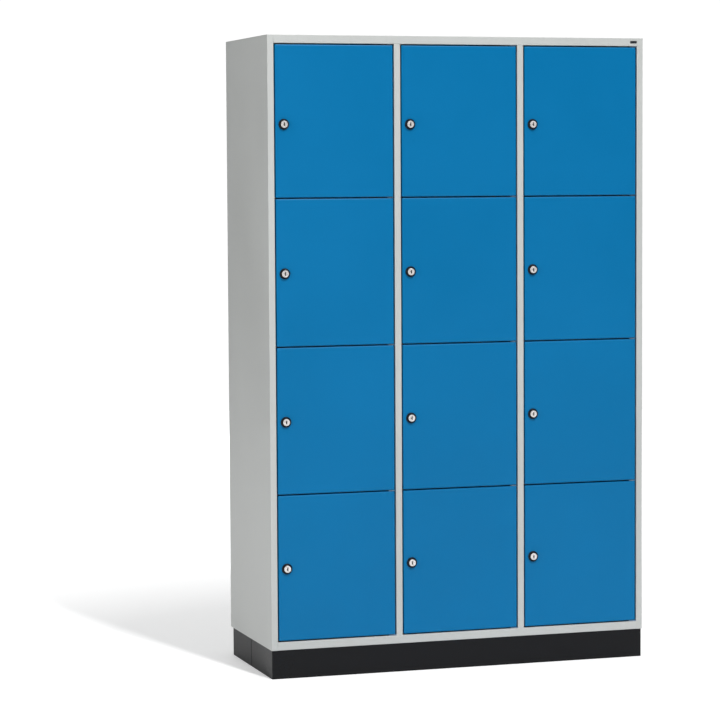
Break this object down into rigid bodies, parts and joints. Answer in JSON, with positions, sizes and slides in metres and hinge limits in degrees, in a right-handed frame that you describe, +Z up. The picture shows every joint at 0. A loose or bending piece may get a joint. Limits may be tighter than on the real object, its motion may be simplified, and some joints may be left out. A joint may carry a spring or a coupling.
{
  "type": "coin operated locker",
  "caption": "Sheet steel locker bank on a plinth, with columns of hinged doors, each locked by a coin deposit lock whose plug turns a cam behind the frame.",
  "frame": {"origin": "on the floor, under the middle of the outer box, locks included", "axes": "+Z up, +Y from the doors to the back, +X to the right of a person facing the doors"},
  "size_m": [1.22, 0.489, 1.95],
  "materials": {
    "carcass_grey": "fine-textured light grey powder coat, semi-matt",
    "door_blue": "fine-textured mid blue powder coat, semi-matt",
    "plinth_charcoal": "near-black powder coat, semi-matt",
    "hinge_zinc": "bright zinc plate",
    "lock_black": "black moulded plastic, fine spark texture",
    "lock_nickel": "nickel plate, finely turned face",
    "badge_dark": "blank dark badge, satin"
  },
  "bodies": {
    "carcass": {"side_panel_left": "carcass_grey", "side_panel_right": "carcass_grey", "top_panel": "carcass_grey", "bottom_panel": "carcass_grey", "back_panel": "carcass_grey", "partition_1": "carcass_grey", "partition_2": "carcass_grey", "shelf_c1_r1": "carcass_grey", "shelf_c1_r2": "carcass_grey", "shelf_c1_r3": "carcass_grey", "shelf_c2_r1": "carcass_grey", "shelf_c2_r2": "carcass_grey", "shelf_c2_r3": "carcass_grey", "shelf_c3_r1": "carcass_grey", "shelf_c3_r2": "carcass_grey", "shelf_c3_r3": "carcass_grey", "plinth_front": "plinth_charcoal", "plinth_rear": "plinth_charcoal", "plinth_joiner_left": "hinge_zinc", "plinth_joiner_right": "hinge_zinc", "hinge_post_c1": "hinge_zinc", "hinge_post_c2": "hinge_zinc", "hinge_post_c3": "hinge_zinc", "badge": "badge_dark"},
    "door_c1_r1": {"door_c1_r1": "door_blue", "coin_lock_c1_r1": "lock_black"},
    "plug_c1_r1": {"lock_plug_c1_r1": "lock_nickel"},
    "door_c2_r1": {"door_c2_r1": "door_blue", "coin_lock_c2_r1": "lock_black"},
    "plug_c2_r1": {"lock_plug_c2_r1": "lock_nickel"},
    "door_c3_r1": {"door_c3_r1": "door_blue", "coin_lock_c3_r1": "lock_black"},
    "plug_c3_r1": {"lock_plug_c3_r1": "lock_nickel"},
    "door_c1_r2": {"door_c1_r2": "door_blue", "coin_lock_c1_r2": "lock_black"},
    "plug_c1_r2": {"lock_plug_c1_r2": "lock_nickel"},
    "door_c2_r2": {"door_c2_r2": "door_blue", "coin_lock_c2_r2": "lock_black"},
    "plug_c2_r2": {"lock_plug_c2_r2": "lock_nickel"},
    "door_c3_r2": {"door_c3_r2": "door_blue", "coin_lock_c3_r2": "lock_black"},
    "plug_c3_r2": {"lock_plug_c3_r2": "lock_nickel"},
    "door_c1_r3": {"door_c1_r3": "door_blue", "coin_lock_c1_r3": "lock_black"},
    "plug_c1_r3": {"lock_plug_c1_r3": "lock_nickel"},
    "door_c2_r3": {"door_c2_r3": "door_blue", "coin_lock_c2_r3": "lock_black"},
    "plug_c2_r3": {"lock_plug_c2_r3": "lock_nickel"},
    "door_c3_r3": {"door_c3_r3": "door_blue", "coin_lock_c3_r3": "lock_black"},
    "plug_c3_r3": {"lock_plug_c3_r3": "lock_nickel"},
    "door_c1_r4": {"door_c1_r4": "door_blue", "coin_lock_c1_r4": "lock_black"},
    "plug_c1_r4": {"lock_plug_c1_r4": "lock_nickel"},
    "door_c2_r4": {"door_c2_r4": "door_blue", "coin_lock_c2_r4": "lock_black"},
    "plug_c2_r4": {"lock_plug_c2_r4": "lock_nickel"},
    "door_c3_r4": {"door_c3_r4": "door_blue", "coin_lock_c3_r4": "lock_black"},
    "plug_c3_r4": {"lock_plug_c3_r4": "lock_nickel"}
  },
  "joints": [
    {"name": "door_c1_r1_hinge", "type": "hinge", "parent": "carcass", "child": "door_c1_r1", "pos_m": [-0.224, -0.2295, 0.3385], "axis": [0, 0, 1], "range_deg": [0, 110]},
    {"name": "plug_c1_r1_turn", "type": "hinge", "parent": "door_c1_r1", "child": "plug_c1_r1", "pos_m": [-0.56, -0.2355, 0.337], "axis": [0, 1, 0], "range_deg": [0, 90]},
    {"name": "door_c2_r1_hinge", "type": "hinge", "parent": "carcass", "child": "door_c2_r1", "pos_m": [0.176, -0.2295, 0.3385], "axis": [0, 0, 1], "range_deg": [0, 110]},
    {"name": "plug_c2_r1_turn", "type": "hinge", "parent": "door_c2_r1", "child": "plug_c2_r1", "pos_m": [-0.16, -0.2355, 0.337], "axis": [0, 1, 0], "range_deg": [0, 90]},
    {"name": "door_c3_r1_hinge", "type": "hinge", "parent": "carcass", "child": "door_c3_r1", "pos_m": [0.576, -0.2295, 0.3385], "axis": [0, 0, 1], "range_deg": [0, 110]},
    {"name": "plug_c3_r1_turn", "type": "hinge", "parent": "door_c3_r1", "child": "plug_c3_r1", "pos_m": [0.24, -0.2355, 0.337], "axis": [0, 1, 0], "range_deg": [0, 90]},
    {"name": "door_c1_r2_hinge", "type": "hinge", "parent": "carcass", "child": "door_c1_r2", "pos_m": [-0.224, -0.2295, 0.7865], "axis": [0, 0, 1], "range_deg": [0, 110]},
    {"name": "plug_c1_r2_turn", "type": "hinge", "parent": "door_c1_r2", "child": "plug_c1_r2", "pos_m": [-0.56, -0.2355, 0.784], "axis": [0, 1, 0], "range_deg": [0, 90]},
    {"name": "door_c2_r2_hinge", "type": "hinge", "parent": "carcass", "child": "door_c2_r2", "pos_m": [0.176, -0.2295, 0.7865], "axis": [0, 0, 1], "range_deg": [0, 110]},
    {"name": "plug_c2_r2_turn", "type": "hinge", "parent": "door_c2_r2", "child": "plug_c2_r2", "pos_m": [-0.16, -0.2355, 0.784], "axis": [0, 1, 0], "range_deg": [0, 90]},
    {"name": "door_c3_r2_hinge", "type": "hinge", "parent": "carcass", "child": "door_c3_r2", "pos_m": [0.576, -0.2295, 0.7865], "axis": [0, 0, 1], "range_deg": [0, 110]},
    {"name": "plug_c3_r2_turn", "type": "hinge", "parent": "door_c3_r2", "child": "plug_c3_r2", "pos_m": [0.24, -0.2355, 0.784], "axis": [0, 1, 0], "range_deg": [0, 90]},
    {"name": "door_c1_r3_hinge", "type": "hinge", "parent": "carcass", "child": "door_c1_r3", "pos_m": [-0.224, -0.2295, 1.2355], "axis": [0, 0, 1], "range_deg": [0, 110]},
    {"name": "plug_c1_r3_turn", "type": "hinge", "parent": "door_c1_r3", "child": "plug_c1_r3", "pos_m": [-0.56, -0.2355, 1.233], "axis": [0, 1, 0], "range_deg": [0, 90]},
    {"name": "door_c2_r3_hinge", "type": "hinge", "parent": "carcass", "child": "door_c2_r3", "pos_m": [0.176, -0.2295, 1.2355], "axis": [0, 0, 1], "range_deg": [0, 110]},
    {"name": "plug_c2_r3_turn", "type": "hinge", "parent": "door_c2_r3", "child": "plug_c2_r3", "pos_m": [-0.16, -0.2355, 1.233], "axis": [0, 1, 0], "range_deg": [0, 90]},
    {"name": "door_c3_r3_hinge", "type": "hinge", "parent": "carcass", "child": "door_c3_r3", "pos_m": [0.576, -0.2295, 1.2355], "axis": [0, 0, 1], "range_deg": [0, 110]},
    {"name": "plug_c3_r3_turn", "type": "hinge", "parent": "door_c3_r3", "child": "plug_c3_r3", "pos_m": [0.24, -0.2355, 1.233], "axis": [0, 1, 0], "range_deg": [0, 90]},
    {"name": "door_c1_r4_hinge", "type": "hinge", "parent": "carcass", "child": "door_c1_r4", "pos_m": [-0.224, -0.2295, 1.6915], "axis": [0, 0, 1], "range_deg": [0, 110]},
    {"name": "plug_c1_r4_turn", "type": "hinge", "parent": "door_c1_r4", "child": "plug_c1_r4", "pos_m": [-0.56, -0.2355, 1.682], "axis": [0, 1, 0], "range_deg": [0, 90]},
    {"name": "door_c2_r4_hinge", "type": "hinge", "parent": "carcass", "child": "door_c2_r4", "pos_m": [0.176, -0.2295, 1.6915], "axis": [0, 0, 1], "range_deg": [0, 110]},
    {"name": "plug_c2_r4_turn", "type": "hinge", "parent": "door_c2_r4", "child": "plug_c2_r4", "pos_m": [-0.16, -0.2355, 1.682], "axis": [0, 1, 0], "range_deg": [0, 90]},
    {"name": "door_c3_r4_hinge", "type": "hinge", "parent": "carcass", "child": "door_c3_r4", "pos_m": [0.576, -0.2295, 1.6915], "axis": [0, 0, 1], "range_deg": [0, 110]},
    {"name": "plug_c3_r4_turn", "type": "hinge", "parent": "door_c3_r4", "child": "plug_c3_r4", "pos_m": [0.24, -0.2355, 1.682], "axis": [0, 1, 0], "range_deg": [0, 90]}
  ]
}
